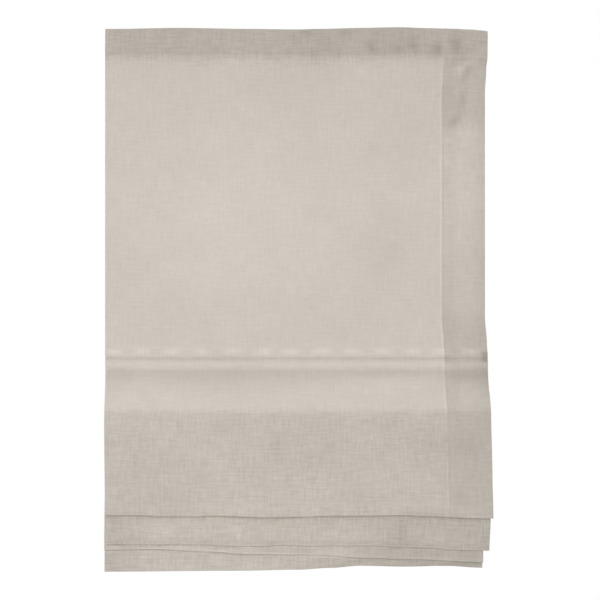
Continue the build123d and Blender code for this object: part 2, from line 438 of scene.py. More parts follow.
# Creases and soft marks on the cloth: a crease is raised by its rise, and its last two numbers are painted
# light and shade. The first darkens one side of the mark and lights the other, the second darkens the
# whole mark, or lights it when below 0. Marks with no rise are painted alone: the shade of the band's
# gathers, a broad highlight and a darker zone on the panel, and shade and light on the loops.
Crease = namedtuple("Crease", "stretch x z turn reach width rise shade tone")
creases = (
    Crease("panel", 0.267, -0.0715, math.radians(67), 0.014, 0.006, 0.001, 0.11, 0.15),
    Crease("panel", 0.2663, -0.109, math.radians(78), 0.022, 0.006, 0.001, 0.11, 0.16),
    Crease("panel", 0.253, -0.144, math.radians(45), 0.014, 0.006, 0.0012, 0.12, 0.18),
    Crease("panel", 0.27, -0.161, math.radians(-10), 0.016, 0.006, 0.0008, 0.0, -0.06),
    Crease("panel", 0.262, -0.0625, math.radians(60), 0.014, 0.006, 0.0008, 0.0, -0.06),
    Crease("panel", 0.275, -0.0557, math.radians(90), 0.011, 0.006, 0.0008, 0.04, 0.11),
    Crease("panel", 0.2436, -0.095, math.radians(90), 0.01, 0.007, 0.0008, 0.0, 0.06),
    Crease("panel", 0.2576, -0.0573, math.radians(90), 0.009, 0.007, 0.0008, 0.0, -0.07),
    Crease("panel", 0.246, -0.17, math.radians(80), 0.03, 0.009, 0.0012, -0.04, 0.0),
    Crease("panel", 0.262, -0.488, math.radians(-12), 0.03, 0.01, 0.0012, 0.04, 0.02),
    Crease("panel", -0.1, -0.29, 0, 0.13, 0.13, 0.0, 0.0, -0.05),
    Crease("panel", 0.146, -0.36, math.radians(90), 0.07, 0.035, 0.0, 0.0, 0.035),
    Crease("panel", 0.2, -0.43, math.radians(70), 0.05, 0.014, 0.001, 0.02, 0.0),
    Crease("loop_1", 0.16, -0.549, math.radians(1), 0.05, 0.006, 0.0006, 0.0, -0.03),
    Crease("loop_1", -0.107, -0.731, math.radians(-11), 0.034, 0.007, 0.0012, 0.04, 0.02),
    Crease("loop_1", 0.13, -0.7, math.radians(75), 0.045, 0.013, 0.001, 0.025, 0.0),
    Crease("loop_1", 0.26, -0.68, math.radians(82), 0.05, 0.012, 0.001, -0.025, 0.0),
    Crease("loop_1", 0.193, -0.651, 0, 0.025, 0.025, 0.0, 0.0, 0.05),
    Crease("loop_1", 0.264, -0.654, 0, 0.022, 0.016, 0.0, 0.0, 0.05),
    Crease("loop_1", 0.192, -0.758, 0, 0.035, 0.008, 0.0, 0.0, 0.1),
    Crease("loop_1", 0.262, -0.757, 0, 0.02, 0.01, 0.0, 0.0, -0.06),
    Crease("loop_2", 0.1626, -0.785, math.radians(90), 0.03, 0.005, 0.0006, 0.03, 0.09),
    Crease("loop_3", 0.166, -0.806, math.radians(90), 0.008, 0.006, 0.0, 0.0, 0.16),
    Crease("band", 0.174, -0.028, 0, 0.024, 0.016, 0, 0.0, 0.055),
    Crease("band", 0.16, -0.033, 0, 0.007, 0.006, 0, 0.0, 0.12),
    Crease("band", 0.0157, -0.006, 0, 0.01, 0.006, 0, 0.0, 0.15),
    Crease("band", 0.0786, -0.006, 0, 0.008, 0.006, 0, 0.0, 0.13),
    Crease("band", 0.118, -0.031, math.radians(90), 0.008, 0.008, 0, 0.0, 0.2),
    Crease("band", 0.185, -0.027, math.radians(90), 0.014, 0.008, 0, 0.0, 0.16),
    Crease("band", 0.2223, -0.032, math.radians(90), 0.01, 0.006, 0, 0.0, 0.24),
    Crease("band", 0.2498, -0.027, math.radians(90), 0.018, 0.009, 0, 0.0, 0.21),
)


def faces_room(row):
    """Whether a row's right side is turned to the room."""
    return math.sin(row.heading) < 0


def crease_share(crease, x, z):
    """How strongly a crease shows at a place, from 0 to 1, and how far to its side the place is."""
    across, down = x - crease.x, z - crease.z
    along = (across * math.cos(crease.turn) + down * math.sin(crease.turn)) / crease.reach
    beside = (down * math.cos(crease.turn) - across * math.sin(crease.turn)) / crease.width
    return math.exp(-(along**2) - beside**2), beside


def edge_key(stretch):
    """Which of the edge lines a stretch of cloth follows."""
    if stretch in ("loop_2", "fold_3", "pocket_3"):
        return "loop_2"
    if stretch in ("loop_3", "fold_4", "pocket_4", "bottom", "bottom_hem"):
        return "bottom"
    return "panel"


def hang_share(row):
    """How freely a row hangs: 0 at the pockets and 1 at a loop's bottom or in the bottom hem."""
    if row.stretch == "bottom_hem":
        return 1.0
    if row.stretch == "bottom":
        return follow(((hem_end + bottom_hem, 1.0), (lower_seams[-1], 0.0)), row.z)
    if row.stretch in loop_ends:
        start = upper_seams[loop_names.index(row.stretch) + 1] - hang_start
        return follow(((loop_ends[row.stretch], 1.0), (start, 0.0)), row.z)
    return 0.0


def ripples(x):
    """A gentle unevenness across the width, from -1 to 1."""
    return sum(wave.size * math.sin(x * wave.rate + wave.start) for wave in ripple_waves)


def gathers(x):
    """How high the small puckers along a seam stand."""
    turn = 2 * math.pi * (x - pucker_start) / pucker_pitch + pucker_drift * ripples(x)
    return pucker_base + pucker_swing * math.cos(turn)


def cloth_point(row, across, lift=0.0):
    """Where the cloth is, for a row and a place across its flat width; lift moves to its wrong side."""
    key = edge_key(row.stretch)
    left = follow(left_edges[key], row.z)
    right = follow(right_edges[key], row.z)
    past = max(-across, across - cloth_width, 0.0)
    inside = -across if across < 0 else 2 * cloth_width - across if across > cloth_width else across
    x = left + (right - left) * inside / cloth_width
    lift += layer_pitch * min(1.0, past / hem_turn)

    y, z = row.y, row.z
    hang = hang_share(row)
    if row.stretch in ("top_hem", "top_edge", "band", "panel"):
        z += follow(top_wave, x) * follow(top_wave_rows, row.z)
        y += panel_sway * ripples(x + sway_slant * row.z) * follow(sway_rows, row.z)
    if row.stretch in ("band", "panel"):
        dimples = max(0.0, ripples(dimple_rate * x))
        lift -= dimple_rise * dimples * math.exp(-(((row.z + band_seam) / dimple_reach) ** 2))
    if row.stretch in ("panel", "pocket_1", "loop_1") and faces_room(row):
        lift -= pucker_rise * gathers(x) * follow(pucker_line, row.z)
    if row.stretch in loop_ends:
        z += hang * follow(loop_sags[row.stretch], x)
        end = loop_ends[row.stretch]
        if faces_room(row):
            lift -= flare * follow(((end, 1.0), (end + flare_reach, 0.0)), row.z)
        held, pinch = pinch_lines[row.stretch], pinches[row.stretch]
        y = held + (y - held) * (1 - pinch.share * follow(((end, 1.0), (end + pinch.reach, 0.0)), row.z))
        y += stack_sway * ripples(stack_sway_rate * x + stack_sway_start) * hang
        y += follow(stack_presses[row.stretch], row.z)
    if row.stretch in ("bottom", "bottom_hem"):
        z += hang * follow(loop_sags["bottom"], x)
        y += follow(stack_presses["bottom"], row.z)
    for crease in creases:
        if row.stretch == crease.stretch and faces_room(row):
            lift -= crease.rise * crease_share(crease, x, row.z)[0]
    lift -= hem_step * follow(hem_step_line, inside)
    return Vector((x, y - lift * math.sin(row.heading), z + lift * math.cos(row.heading)))


# Painted light and shade on the cloth, as a share of its own colour: painted shade where layers lie behind
# it, and painted shade and highlight along seams, lips and creases. A line goes down the cloth by height,
# or across it, or up from a loop's lowest line, its lip.
# Painted shade down the band, darkest where the loop tape lies behind, then lighter down the panel.
band_and_panel_shade = (
    (0.0355, 0.728), (0.0375, 0.716), (0.045, 0.82), (0.051, 0.88), (0.064, 0.92), (0.11, 0.942),
    (0.18, 0.965), (0.26, 0.985), (0.36, 0.978),
)
# Painted shade in the small gathers along the band's seam.
gather_shade = 0.05
gather_shade_rate = 3.1
gather_shade_reach = 0.012
stack_top, stack_clear = -0.604, -0.59  # the loops behind the first one start between these heights
# Painted shade on the stretches with layers behind them, and on the first loop's front below the top of
# the loops behind.
stack_shade = 0.875
stretch_shades = {"top_hem": 0.94, "loop_3": 0.86, "bottom": 0.93}
# Painted light and shade across the lower loops and the bottom: lighter left of the middle, darker towards
# the right.
low_fold_shade = (
    (-0.3, 0.955), (-0.25, 0.97), (-0.2, 1.03), (-0.1, 1.03), (-0.04, 1.0), (0.05, 0.99), (0.11, 0.935),
    (0.17, 0.91), (0.235, 0.9),
)
lips_before = {"loop_2": "loop_1", "loop_3": "loop_2", "bottom_hem": "loop_3"}
# Painted shadow on a loop's front under the lip of the loop in front, with painted light in the gap right
# under the lip.
contact_shadows = {  # over the lip of the loop in front
    "loop_2": ((-0.0095, 1.0), (-0.005, 0.945), (-0.003, 0.92), (-0.001, 1.12), (0.0, 1.25)),
    "loop_3": ((-0.004, 1.0), (-0.0015, 1.08), (0.0, 1.22)),
    "bottom_hem": ((-0.004, 1.0), (-0.0015, 1.25), (0.0, 1.5)),
}
stack_top_shade = ((stack_top, stack_shade), (stack_clear, 1.0))
# Painted shade at the first pocket's upper seam with painted light above it, a painted highlight on the
# swell over the rod, and a painted shadow under the swell that reaches less far towards the right.
upper_seam_shade = (
    (upper_seams[0] - 0.0075, 1.0), (upper_seams[0] - 0.004, 0.945), (upper_seams[0] - 0.001, 0.87),
    (upper_seams[0] + 0.0022, 0.985), (upper_seams[0] + 0.0045, 1.015), (upper_seams[0] + 0.0135, 1.025),
    (upper_seams[0] + 0.0235, 1.0),
)
swell_highlight = (
    (lower_seams[0] + 0.001, 1.0), (lower_seams[0] + 0.0055, 1.09), (lower_seams[0] + 0.0105, 1.02),
    (lower_seams[0] + 0.014, 1.0),
)
lower_seam_shadow = (
    (lower_seams[0] - 0.041, 1.0), (lower_seams[0] - 0.023, 0.955), (lower_seams[0] - 0.0155, 0.92),
    (lower_seams[0] - 0.0085, 0.885), (lower_seams[0] - 0.0005, 0.885), (lower_seams[0] + 0.0025, 0.96),
    (lower_seams[0] + 0.004, 1.0),
)
lower_seam_shadow_reach = ((-0.02, 1.0), (0.06, 0.8), (0.13, 0.6), (0.19, 0.6), (0.235, 0.9))
# Painted light on the bottoms of the loops, which face down.
underside_light = 0.25
# Painted shade at a loop's own lip, with painted light a little above it on the first loop.
lip_shades = {  # over the loop's own lip
    "loop_1": ((0.0, 0.93), (0.006, 1.005), (0.013, 1.025), (0.028, 1.0)),
    "loop_2": ((0.0, 0.9), (0.014, 1.0)),
}
# Painted shade on the side hems, where the cloth lies double, with painted light in the band and beside
# the first pocket, painted highlight and shade along the wide hem's seam, painted shade at the first
# pocket's open end, and painted shade towards the right of the bottom hem.
hem_cross_shade = (
    (seam_across, 0.945), (seam_across + 0.018, 0.945), (seam_across + 0.024, 1.0),
    (seam_across + 0.042, 0.985), (cloth_width, 0.91),
)
stack_hem_shade = ((seam_across, 0.96), (seam_across + 0.02, 0.915), (cloth_width, 0.905))
hem_row_shades = (
    (-0.58, 0.92), (-0.56, 0.9), (-0.542, 0.83), (-0.53, 0.86), (-0.47, 0.875), (-0.42, 0.955),
    (-0.3, 1.0), (-0.17, 1.0), (-0.13, 0.91), (-0.055, 0.91),
)
band_hem_light = 1.025
low_hem_shade = ((seam_across, 1.0), (seam_across + 0.03, 0.98))
bottom_hem_shade = ((0.0, 1.0), (0.05, 0.965), (0.13, 0.94))
end_hem_shade = ((seam_across - 0.06, 1.0), (seam_across, 0.95), (seam_across + 0.03, 0.91))
seam_end_rows = ((-0.566, 0.0), (-0.548, 1.0), (-0.53, 1.0), (-0.52, 0.0))
seam_end_light = ((seam_across, 0.14), (seam_across + 0.024, 0.0), (cloth_width, -0.03))
seam_shades = (1.0, 1.08, 1.0, 0.96, 1.0)
seam_line_shade = [(seam_across + place, tone) for place, tone in zip(seam_lines, seam_shades)]
seam_line_rows = ((-0.7, 0.5), (-0.5, 0.8), (-0.42, 1.0), (-0.12, 1.0), (-0.05, 0.5))
pocket_end_shade = (
    (cloth_width - 0.0112, 0.0), (cloth_width - 0.0056, 0.25), (cloth_width - hem_crisp, 0.26),
)
pocket_end_rows = (
    (upper_seams[0] - 0.009, 0.0), (upper_seams[0] - 0.005, 1.0), (upper_seams[0] + 0.008, 0.85),
    (upper_seams[0] + 0.011, 0.0),
)
band_slubs = 2.0
hem_slubs = 1.2
hem_slub_line = ((seam_across + seam_lines[2], 0.0), (seam_across + seam_lines[3], 1.0))
stack_slubs = ((stack_top, 2.0), (stack_clear, 1.0))
stack_hem_slubs = 0.7  # as a share of the stack's own
low_fold_slubs = 2.5


def layer_shade(row, x):
    """The painted shade from the layers behind the cloth, as a share of its colour, and in the gathers
    along the band's seam.
    """
    if row.stretch in ("top_edge", "band", "panel"):
        near_seam = math.exp(-(((row.z + band_seam) / gather_shade_reach) ** 2))
        gather_shading = max(0.0, ripples(gather_shade_rate * x)) * near_seam
        return follow(band_and_panel_shade, row.flat) * (1 - gather_shade * gather_shading)
    if row.stretch == "pocket_1" or row.stretch == "loop_1" and faces_room(row):
        return follow(stack_top_shade, row.z)
    return stretch_shades.get(row.stretch, stack_shade)


def pocket_shade(row, x):
    """The painted shade along the first pocket's seams and under its swell, and the painted highlight on
    the swell and the puckers above it.
    """
    below = min(0.0, row.z - lower_seams[0])
    shade = follow(lower_seam_shadow, row.z - below + below / follow(lower_seam_shadow_reach, x))
    glow = 1 + pucker_highlight * (gathers(x) - pucker_level) * follow(pucker_glow, row.z)
    return shade * glow * follow(upper_seam_shade, row.z) * follow(swell_highlight, row.z)


def lip_shade(row, x):
    """The shade at a loop's bottom, and where the bottom of the loop before lies on the cloth."""
    tone = 1.0
    if row.stretch in lip_shades:
        tone *= follow(lip_shades[row.stretch], row.z - loop_ends[row.stretch])
    if row.stretch in lips_before:
        lip = lips_before[row.stretch]
        sag = hang_share(row) * follow(loop_sags[row.stretch.removesuffix("_hem")], x)
        lip_z = loop_ends[lip] + follow(loop_sags[lip], x)
        tone *= follow(contact_shadows[row.stretch], row.z + sag - lip_z)
    return tone


def crease_shade(row, x):
    """The painted light and shade of the creases and soft marks."""
    tone = 1.0
    for crease in creases:
        if row.stretch == crease.stretch:
            strength, beside = crease_share(crease, x, row.z)
            tone *= 1 - (crease.tone + crease.shade * beside) * strength
    return tone


def hem_shade(row, across):
    """The painted shade of the side hems, with painted light and shade along the wide one's seam and
    painted shade at the first pocket's end.
    """
    shown = min(across, 2 * cloth_width - across)
    if row.stretch in ("bottom", "bottom_hem"):
        return follow(end_hem_shade, shown)
    if row.stretch not in ("top_edge", "band", "panel", "pocket_1", "loop_1"):
        return follow(low_hem_shade, shown)
    tone = 1 + (follow(seam_line_shade, across) - 1) * follow(seam_line_rows, row.z)
    if row.stretch in ("panel", "pocket_1"):
        tone *= 1 - follow(pocket_end_shade, across) * follow(pocket_end_rows, row.z)
    if across <= seam_across:
        return tone
    if row.z > -top_hem:
        return tone * band_hem_light
    if row.z < stack_top:
        return tone * follow(stack_hem_shade, shown)
    tone *= 1 + follow(seam_end_light, shown) * follow(seam_end_rows, row.z)
    return tone * follow(hem_cross_shade, shown) * follow(hem_row_shades, row.z)


def cloth_painted_shade(row, across):
    """The painted light and shade on the cloth at a place, as a share of its own colour."""
    x = across - cloth_width / 2
    tone = layer_shade(row, x) * hem_shade(row, across)
    if row.stretch in loop_ends:
        tone *= 1 + underside_light * max(0.0, math.cos(row.heading)) ** 2
    if edge_key(row.stretch) != "panel":
        tone *= follow(low_fold_shade, x)
    if faces_room(row):
        tone *= lip_shade(row, x) * crease_shade(row, x)
        if row.stretch in ("panel", "pocket_1", "loop_1"):
            tone *= pocket_shade(row, x)
        if row.stretch == "bottom_hem":
            tone *= follow(bottom_hem_shade, x)
    return tone


def slub_strength(row, across):
    """How strongly the slubs show: more where the light that comes through has crossed more layers."""
    if row.stretch in ("top_edge", "band", "top_hem"):
        return band_slubs
    if row.stretch in ("panel", "pocket_1") or row.stretch == "loop_1" and faces_room(row):
        hem_share = follow(hem_slub_line, across)
        stack = follow(stack_slubs, row.z) * (1 + (stack_hem_slubs - 1) * hem_share)
        return max(stack, 1 + (hem_slubs - 1) * hem_share)
    return low_fold_slubs


rows = lay_rows()
loop_names = [f"loop_{number + 1}" for number in range(len(loops))]
loop_rows = {name: [row for row in rows if row.stretch == name] for name in loop_names}
loop_ends = {stretch: min(row.z for row in its_rows) for stretch, its_rows in loop_rows.items()}
loop_fronts = {stretch: min(row.y for row in its_rows) for stretch, its_rows in loop_rows.items()}
pinch_lines = {
    "loop_1": loop_fronts["loop_1"] + 2 * front_loop.radius,
    "loop_2": loop_fronts["loop_2"] + 2 * back_loop.radius,
    "loop_3": loop_fronts["loop_3"] + back_loop.radius,
}
column_count = round(cloth_width / column_pitch)
columns = [-pin_hem, -hem_turn]
columns += [cloth_width * step / column_count for step in range(column_count + 1)]
columns += [seam_across + place for place in seam_lines]
columns += [2 * cloth_width - column for column in columns if seam_across < column < cloth_width]
columns += [hem_crisp, cloth_width - hem_crisp, cloth_width + hem_turn, cloth_width + side_hem]
columns.sort()

pocket_names = [f"pocket_{number + 1}" for number in range(pocket_count)]
bare_rows = {"top_hem", "top_edge", "bottom_hem", *pocket_names}  # where the side hems are cut away
mesh = bmesh.new()
# Each vertex holds its painted light and shade, as a share of the linen's colour, and how strongly its
# slubs show.
painted_shades = mesh.verts.layers.float.new("tone")
slubbings = mesh.verts.layers.float.new("slubs")
laid = mesh.loops.layers.uv.new("laid_flat")
grid = []
for row in rows:
    line = []
    for across in columns:
        vert = mesh.verts.new(cloth_point(row, across))
        vert[painted_shades] = cloth_painted_shade(row, across)
        vert[slubbings] = slub_strength(row, across)
        line.append(vert)
    grid.append(line)
for upper in range(len(rows) - 1):
    for left in range(len(columns) - 1):
        turned = columns[left] < 0 or columns[left + 1] > cloth_width
        if turned and {rows[upper].stretch, rows[upper + 1].stretch} & bare_rows:
            continue
        corners = ((upper, left), (upper + 1, left), (upper + 1, left + 1), (upper, left + 1))
        face = mesh.faces.new([grid[row][column] for row, column in corners])
        face.smooth = True
        for loop, (row, column) in zip(face.loops, corners):
            loop[laid].uv = (columns[column], -rows[row].flat)
bmesh.ops.delete(mesh, geom=[vert for vert in mesh.verts if not vert.link_faces], context="VERTS")

linen = bpy.data.objects.new("linen", bpy.data.meshes.new("linen"))
mesh.to_mesh(linen.data)
mesh.free()
bpy.context.scene.collection.objects.link(linen)
thickness = linen.modifiers.new("thickness", "SOLIDIFY")
thickness.thickness = cloth_thick
thickness.offset = 0

linen_colour = (0.611, 0.5635, 0.503)
linen_roughness = 0.9
linen_specular = 0.15
linen_sheen = 0.08
thread_pitch = 0.0011
warp_slubs = (310, 36, 1)
weft_slubs = (36, 310, 1)
fine_warp = (640, 110, 1)
fine_weft = (110, 640, 1)
cloud_marks = (22, 22, 1)
drape_marks = (7, 7, 1)
slub_contrast = 0.15
fine_contrast = 0.06
cloud_contrast = 0.06
drape_contrast = 0.1
mark_middle = 0.5  # the share that the marks vary about
# Red falls slower and blue faster than green where painted shade darkens the cloth.
shade_warmth = (0.964, 1.0, 1.057)  # how fast red, green and blue fall as more layers lie behind
weave_share = 0.25
weave_relief = 0.00022

cloth_finish, tree, shader, place = start_material("natural_linen", linen_roughness, "UV")
shader.inputs["Specular IOR Level"].default_value = linen_specular
shader.inputs["Sheen Weight"].default_value = linen_sheen
slubs = 0.0
for size, contrast in (
    (warp_slubs, slub_contrast), (weft_slubs, slub_contrast), (fine_warp, fine_contrast),
    (fine_weft, fine_contrast), (cloud_marks, cloud_contrast), (drape_marks, drape_contrast),
):
    streak = calculate(tree, "SUBTRACT", marks(tree, place, size), mark_middle)
    slubs = calculate(tree, "MULTIPLY_ADD", streak, contrast, slubs)
# The painted light and shade multiplies the linen's colour with the slubs, and warms it as it darkens it.
tone = add(tree, "ShaderNodeAttribute", {"attribute_name": "tone"}).outputs["Fac"]
strength = add(tree, "ShaderNodeAttribute", {"attribute_name": "slubs"}).outputs["Fac"]
share = calculate(tree, "MULTIPLY", calculate(tree, "MULTIPLY_ADD", slubs, strength, 1.0), tone)
shaded = add(tree, "ShaderNodeVectorMath", {"operation": "POWER"})
feed(tree, shaded.inputs[0], share)
shaded.inputs[1].default_value = shade_warmth
colour = add(tree, "ShaderNodeVectorMath", {"operation": "MULTIPLY"})
feed(tree, colour.inputs[0], shaded.outputs[0])
colour.inputs[1].default_value = linen_colour
feed(tree, shader.inputs["Base Color"], colour.outputs[0])
axes = add(tree, "ShaderNodeSeparateXYZ", Vector=place)
over, under = (
    calculate(tree, "SINE", calculate(tree, "MULTIPLY", axis, 2 * math.pi / thread_pitch))
    for axis in axes.outputs[:2]
)
weave = calculate(tree, "MULTIPLY_ADD", calculate(tree, "MULTIPLY", over, under), weave_share, slubs)
emboss(tree, shader, weave, weave_relief)
linen.data.materials.append(cloth_finish)
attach(linen, "root")
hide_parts("linen_panel")


# Stitching: a machine lockstitch in linen-coloured thread.
# It closes the hems and holds the pocket tapes, with one row on each side of a pocket.
stitch_pitch = 0.0034
stitch_length = 0.0026
thread_thick = 0.00042
thread_colour = (0.60, 0.555, 0.49, 1)
thread_shade = (0.50, 0.46, 0.40, 1)
thread_roughness = 0.8
thread_twist = (2600, 2600, 2600)
thread_relief = 0.0001
stitch_uneven = (0.85, 1.1)  # shortest and longest, as shares of the length
stitch_seed = 7
bead_segments = 5
bead_rings = 4
hem_seam_inset = 0.002
pocket_seam_inset = 0.002
pocket_tape_thick = 0.0006

thread, tree, shader, place = start_material("linen_thread", thread_roughness)
twist = marks(tree, place, thread_twist)
feed(tree, shader.inputs["Base Color"], two_tone(tree, twist, thread_shade, thread_colour))
emboss(tree, shader, twist, thread_relief)


def row_at(flat):
    """The row at a place along the flat cloth, between the rows laid."""
    for before, after in zip(rows, rows[1:]):
        if before.flat <= flat <= after.flat:
            share = (flat - before.flat) / (after.flat - before.flat)
            mixed = [low + (high - low) * share for low, high in zip(before[1:], after[1:])]
            return Row(before.stretch, *mixed)
    return rows[-1]


def across_seam(flat, lift, inset=0.0):
    """Points of a seam that runs across the cloth."""
    row = row_at(flat)
    return [cloth_point(row, across, lift) for across in columns if inset <= across <= cloth_width - inset]


def down_seam(across, lift, stretch):
    """Points of a seam that runs down one stretch of the cloth."""
    return [cloth_point(row, across, lift) for row in rows if row.stretch == stretch]


def stitch_tree():
    """The node group that sets stitches along its object's edges."""
    tree = bpy.data.node_groups.new("stitches", "GeometryNodeTree")
    for name, kind, side in (
        ("Geometry", "NodeSocketGeometry", "INPUT"), ("Pitch", "NodeSocketFloat", "INPUT"),
        ("Length", "NodeSocketFloat", "INPUT"), ("Thread", "NodeSocketFloat", "INPUT"),
        ("Geometry", "NodeSocketGeometry", "OUTPUT"),
    ):
        tree.interface.new_socket(name, in_out=side, socket_type=kind)
    inputs = add(tree, "NodeGroupInput").outputs
    curve = add(tree, "GeometryNodeMeshToCurve", Mesh=inputs["Geometry"])
    spaced = add(
        tree, "GeometryNodeResampleCurve", {"mode": "LENGTH"},
        Curve=curve.outputs[0], Length=inputs["Pitch"],
    )
    bead = add(tree, "GeometryNodeMeshUVSphere", Segments=bead_segments, Rings=bead_rings, Radius=0.5)
    along = add(tree, "GeometryNodeInputTangent")
    turn = add(tree, "FunctionNodeAlignRotationToVector", {"axis": "X"}, Vector=along.outputs[0])
    uneven = add(tree, "FunctionNodeRandomValue", {"data_type": "FLOAT"}, Seed=stitch_seed)
    low, high = (socket for socket in uneven.inputs if socket.enabled and socket.name in ("Min", "Max"))
    low.default_value, high.default_value = stitch_uneven
    long = calculate(tree, "MULTIPLY", inputs["Length"], next(s for s in uneven.outputs if s.enabled))
    size = add(tree, "ShaderNodeCombineXYZ", X=long, Y=inputs["Thread"], Z=inputs["Thread"])
    placed = add(
        tree, "GeometryNodeInstanceOnPoints", Points=spaced.outputs[0], Instance=bead.outputs["Mesh"],
        Rotation=turn.outputs[0], Scale=size.outputs[0],
    )
    real = add(tree, "GeometryNodeRealizeInstances", Geometry=placed.outputs[0])
    smooth = add(tree, "GeometryNodeSetShadeSmooth", Geometry=real.outputs[0])
    finish = add(tree, "GeometryNodeSetMaterial", Geometry=smooth.outputs[0], Material=thread)
    feed(tree, add(tree, "NodeGroupOutput").inputs["Geometry"], finish.outputs[0])
    return tree


def sew(name, seams, tree, sizes):
    """Make the stitches of several seams one plain mesh."""
    points = [point for seam in seams for point in seam]
    edges, start = [], 0
    for seam in seams:
        edges += [(index, index + 1) for index in range(start, start + len(seam) - 1)]
        start += len(seam)
    lines = bpy.data.meshes.new(name)
    lines.from_pydata(points, edges, [])
    sewn = bpy.data.objects.new(name, lines)
    bpy.context.scene.collection.objects.link(sewn)
    modifier = sewn.modifiers.new(name, "NODES")
    modifier.node_group = tree
    for item in tree.interface.items_tree:
        if item.in_out == "INPUT" and item.name in sizes:
            modifier[item.identifier] = sizes[item.name]
    made = bpy.data.meshes.new_from_object(sewn.evaluated_get(bpy.context.evaluated_depsgraph_get()))
    sewn.modifiers.clear()
    sewn.data = made
    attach(sewn, "root")
    return sewn


face_lift = -cloth_thick / 2 - hem_step
tape_lift = layer_pitch / 2 + pocket_tape_thick
hem_lift = layer_pitch + cloth_thick / 2
seams = [across_seam(band_seam, -cloth_thick / 2)]
for name in pocket_names:
    flats = [row.flat for row in rows if row.stretch == name]
    for flat in (flats[0] + pocket_margin / 2, flats[-1] - pocket_margin / 2):
        seams += [across_seam(flat, lift, pocket_seam_inset) for lift in (-cloth_thick / 2, tape_lift)]
for stretch in ("panel", *loop_names, "bottom"):
    seams += [
        down_seam(seam_across + hem_seam_inset, face_lift, stretch),
        down_seam(seam_across + hem_seam_inset, hem_lift, stretch),
        down_seam(pin_hem - hem_seam_inset, -cloth_thick / 2, stretch),
        down_seam(pin_hem - hem_seam_inset, hem_lift, stretch),
    ]
hem_close = rows[-1].flat - closing_seam / 2
seams += [across_seam(hem_close, -cloth_thick / 2)]
stitch_sizes = {"Pitch": stitch_pitch, "Length": stitch_length, "Thread": thread_thick}
stitches_group = stitch_tree()
stitches = sew("stitches", seams, stitches_group, stitch_sizes)


# Pocket tapes: woven cotton tape sewn behind the cloth along two seams, with room for a rod.
# It is undyed, with its ribs across the tape.
cotton_pale = (0.82, 0.80, 0.75, 1)
cotton_dark = (0.70, 0.68, 0.63, 1)
cotton_roughness = 0.9
cotton_ribs = (1100, 60, 60)
cotton_relief = 0.0002

cotton, tree, shader, place = start_material("cotton_tape", cotton_roughness)
ribs = marks(tree, place, cotton_ribs)
feed(tree, shader.inputs["Base Color"], two_tone(tree, ribs, cotton_dark, cotton_pale))
emboss(tree, shader, ribs, cotton_relief)
dress(cotton, *(f"pocket_tape_{number + 1}" for number in range(pocket_count)))


# Rods: pulled glass fibre, satin, with the fibres along them, loose in the pockets.
# A soft plastic tip on each end keeps the glass out of the cloth.
fibre_pale = (0.86, 0.86, 0.83, 1)
fibre_dark = (0.74, 0.75, 0.72, 1)
fibre_roughness = 0.42
fibre_streaks = (6, 1500, 1500)
fibre_relief = 0.00004
plastic_pale = (0.88, 0.88, 0.86, 1)
plastic_dark = (0.82, 0.82, 0.80, 1)
plastic_grain = (700, 700, 700)
plastic_relief = 0.00003
tip_roughness = 0.5

fibre, tree, shader, place = start_material("glass_fibre", fibre_roughness)
streaks = marks(tree, place, fibre_streaks)
feed(tree, shader.inputs["Base Color"], two_tone(tree, streaks, fibre_dark, fibre_pale))
emboss(tree, shader, streaks, fibre_relief)
dress(fibre, *(f"rod_{number + 1}" for number in range(pocket_count)))


def moulded_plastic(name, roughness):
    """White moulded plastic with a faint grain."""
    material, tree, shader, place = start_material(name, roughness)
    speckle = marks(tree, place, plastic_grain)
    feed(tree, shader.inputs["Base Color"], two_tone(tree, speckle, plastic_dark, plastic_pale))
    emboss(tree, shader, speckle, plastic_relief)
    return material


sides = ("left", "right")
tip_plastic = moulded_plastic("soft_plastic", tip_roughness)
dress(tip_plastic, *(f"rod_tip_{number + 1}_{side}" for number in range(pocket_count) for side in sides))


# Cord rings: glossy moulded plastic rings, two to a pocket, for the lift cords.
# A few turns of thread hold each one to its tape's upper margin.
ring_roughness = 0.25
dress(
    moulded_plastic("ring_plastic", ring_roughness),
    *(f"cord_ring_{number + 1}_{side}" for number in range(pocket_count) for side in sides),
)
tack_thread = 0.0005
tack_turns = 5
tack_steps = 8
tack_reach = math.radians(115)  # how far round the wire a turn shows, to each side
tacks = []
for number in range(pocket_count):
    for side in sides:
        low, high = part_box(f"cord_ring_{number + 1}_{side}")
        wire = (high.z - low.z) / 2
        around = wire + tack_thread / 2
        ring_z = (low.z + high.z) / 2
        for turn in range(tack_turns):
            x = (low.x + high.x) / 2 + (turn - (tack_turns - 1) / 2) * tack_thread
            angles = [tack_reach * (2 * step / tack_steps - 1) for step in range(tack_steps + 1)]
            tacks.append([
                (x, low.y + wire + around * math.cos(angle), ring_z + around * math.sin(angle))
                for angle in angles
            ])
tack_sizes = {"Pitch": tack_thread, "Length": 2 * tack_thread, "Thread": tack_thread}
sew("ring_tacks", tacks, stitches_group, tack_sizes)


# Weight bar: a flat aluminium strip with rounded edges, in the bottom hem, with plastic sleeve caps.
# The blind hangs a little low on its left, so the strip lies at a slight tilt in the hem.
bar_tilt = ((-0.3, -0.0014), (0.3, 0.0122))
bar_press = follow(stack_presses["bottom"], hem_end)  # forward, with the hem
aluminium_pale = (0.82, 0.82, 0.83, 1)
aluminium_dark = (0.68, 0.68, 0.70, 1)
aluminium_roughness = 0.4
drawn_lines = (4, 2200, 2200)
drawn_relief = 0.00003
merge_distance = 1e-6

